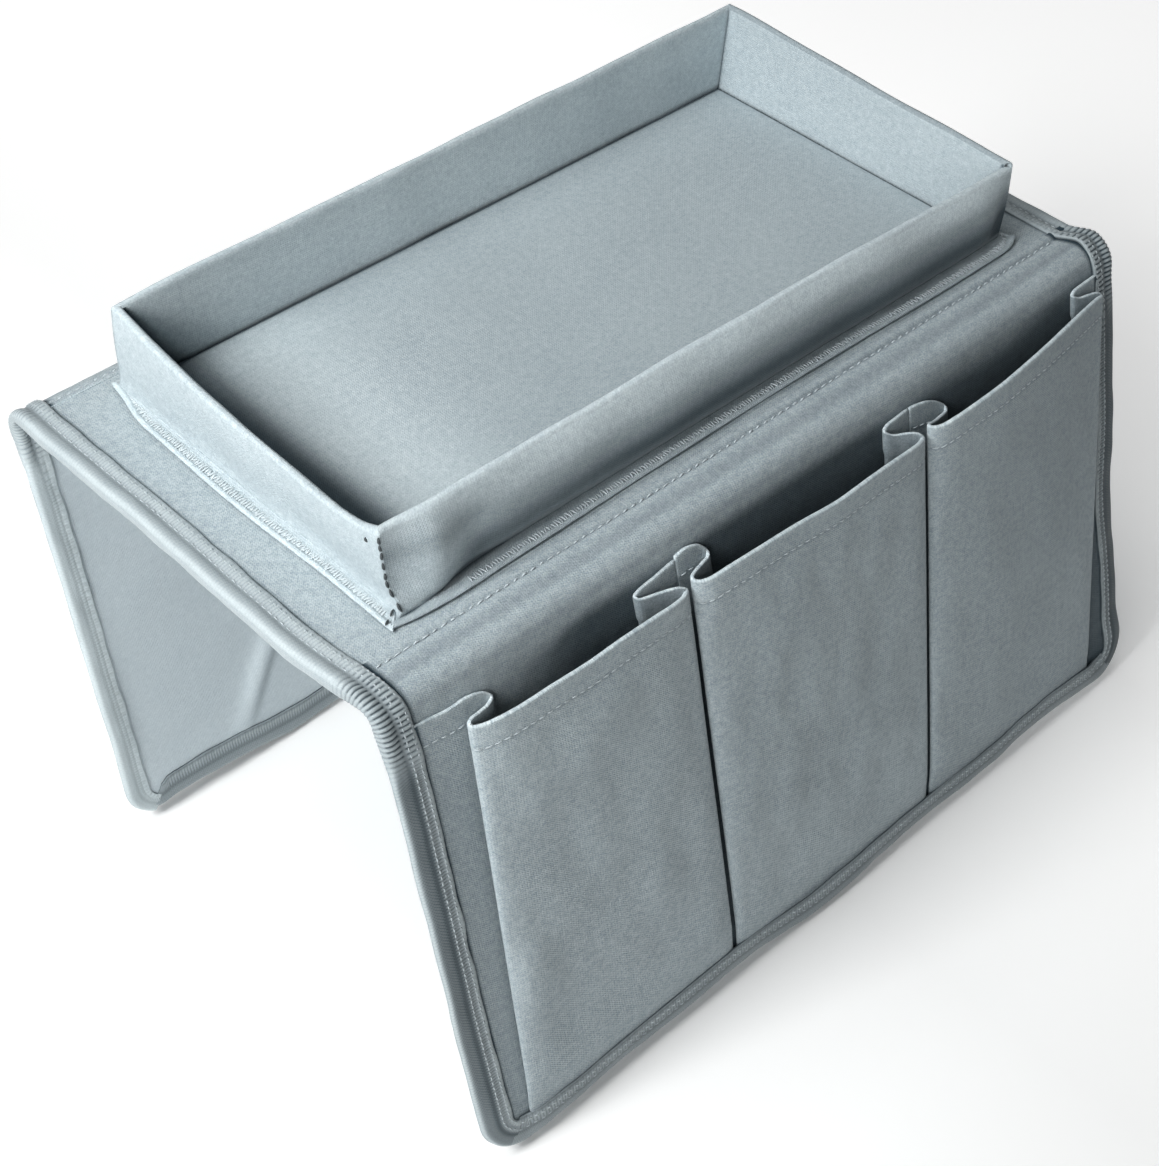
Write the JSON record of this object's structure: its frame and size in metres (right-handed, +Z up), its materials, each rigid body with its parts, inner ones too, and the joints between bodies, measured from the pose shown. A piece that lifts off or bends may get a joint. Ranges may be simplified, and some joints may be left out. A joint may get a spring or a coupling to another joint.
{
  "type": "armrest organizer",
  "caption": "Cloth saddle for a sofa armrest, with a shallow open tray sewn on top and pleated pockets on its hanging flaps.",
  "frame": {"origin": "middle of the saddle's flat underside, where it sits on the top of the armrest", "axes": "+X along the armrest and the longest side, -Y towards the flap with three pockets (the seat side), +Z up, away from the armrest"},
  "size_m": [0.321, 0.2261, 0.2058],
  "materials": {
    "cloth": "plain-weave polyester cloth, blue-grey, matt with a slight sheen",
    "tray_cloth": "the same blue-grey cloth, stretched over the tray's boards",
    "lining": "smooth light blue-grey lining, matt",
    "binding_tape": "ribbed blue-grey binding tape, slight sheen",
    "board": "plain grey-brown board, inside the cloth"
  },
  "bodies": {
    "saddle_top": {"top_cloth": "cloth", "top_lining": "lining", "top_board": "board", "front_fold_cloth": "cloth", "back_fold_cloth": "cloth", "left_end_tape": "binding_tape", "right_end_tape": "binding_tape", "tray_cover_left": "tray_cloth", "tray_cover_right": "tray_cloth", "tray_cover_front": "tray_cloth", "tray_cover_back": "tray_cloth", "tray_board_left": "board", "tray_board_right": "board", "tray_board_front": "board", "tray_board_back": "board", "tray_flange_left": "tray_cloth", "tray_flange_right": "tray_cloth", "tray_flange_front": "tray_cloth", "tray_flange_back": "tray_cloth", "tray_floor_board": "board", "tray_floor_cloth": "tray_cloth"},
    "front_flap": {"front_flap_cloth": "cloth", "front_flap_board": "board", "front_flap_lining": "lining", "front_tape_left": "binding_tape", "front_tape_right": "binding_tape", "front_tape_bottom": "binding_tape", "front_pleat_left_end": "cloth", "front_pleat_left_inner": "cloth", "front_pleat_middle_left": "cloth", "front_pleat_middle_right": "cloth", "front_pleat_right_inner": "cloth", "front_pleat_right_end": "cloth"},
    "front_left_front": {"front_pocket_left": "cloth"},
    "front_middle_front": {"front_pocket_middle": "cloth"},
    "front_right_front": {"front_pocket_right": "cloth"},
    "back_flap": {"back_flap_cloth": "cloth", "back_flap_board": "board", "back_flap_lining": "lining", "back_tape_left": "binding_tape", "back_tape_right": "binding_tape", "back_tape_bottom": "binding_tape", "back_pleat_left_end": "cloth", "back_pleat_left_inner": "cloth", "back_pleat_right_inner": "cloth", "back_pleat_right_end": "cloth"},
    "back_left_front": {"back_pocket_left": "cloth"},
    "back_right_front": {"back_pocket_right": "cloth"}
  },
  "joints": [
    {"name": "front_flap_fold", "type": "hinge", "parent": "saddle_top", "child": "front_flap", "pos_m": [0, -0.0825, -0.0034], "axis": [-1, 0, 0], "range_deg": [-36, 76]},
    {"name": "back_flap_fold", "type": "hinge", "parent": "saddle_top", "child": "back_flap", "pos_m": [0, 0.0797, -0.0034], "axis": [1, 0, 0], "range_deg": [-12, 100]},
    {"name": "front_left_pocket_gape", "type": "hinge", "parent": "front_flap", "child": "front_left_front", "pos_m": [-0.096, -0.13074, -0.15844], "axis": [1, 0, 0], "range_deg": [-2.5, 8], "stiffness_Nm_per_rad": 0.05, "deforming": ["front_pleat_left_end", "front_pleat_left_inner"]},
    {"name": "front_middle_pocket_gape", "type": "hinge", "parent": "front_flap", "child": "front_middle_front", "pos_m": [-0.002, -0.13074, -0.15844], "axis": [1, 0, 0], "range_deg": [-2.5, 8], "stiffness_Nm_per_rad": 0.05, "deforming": ["front_pleat_middle_left", "front_pleat_middle_right"]},
    {"name": "front_right_pocket_gape", "type": "hinge", "parent": "front_flap", "child": "front_right_front", "pos_m": [0.094, -0.13074, -0.15844], "axis": [1, 0, 0], "range_deg": [-2.5, 8], "stiffness_Nm_per_rad": 0.05, "deforming": ["front_pleat_right_inner", "front_pleat_right_end"]},
    {"name": "back_left_pocket_gape", "type": "hinge", "parent": "back_flap", "child": "back_left_front", "pos_m": [-0.0705, 0.06149, -0.16022], "axis": [-1, 0, 0], "range_deg": [-2.5, 8], "stiffness_Nm_per_rad": 0.05, "deforming": ["back_pleat_left_end", "back_pleat_left_inner"]},
    {"name": "back_right_pocket_gape", "type": "hinge", "parent": "back_flap", "child": "back_right_front", "pos_m": [0.0705, 0.06149, -0.16022], "axis": [-1, 0, 0], "range_deg": [-2.5, 8], "stiffness_Nm_per_rad": 0.05, "deforming": ["back_pleat_right_inner", "back_pleat_right_end"]}
  ]
}
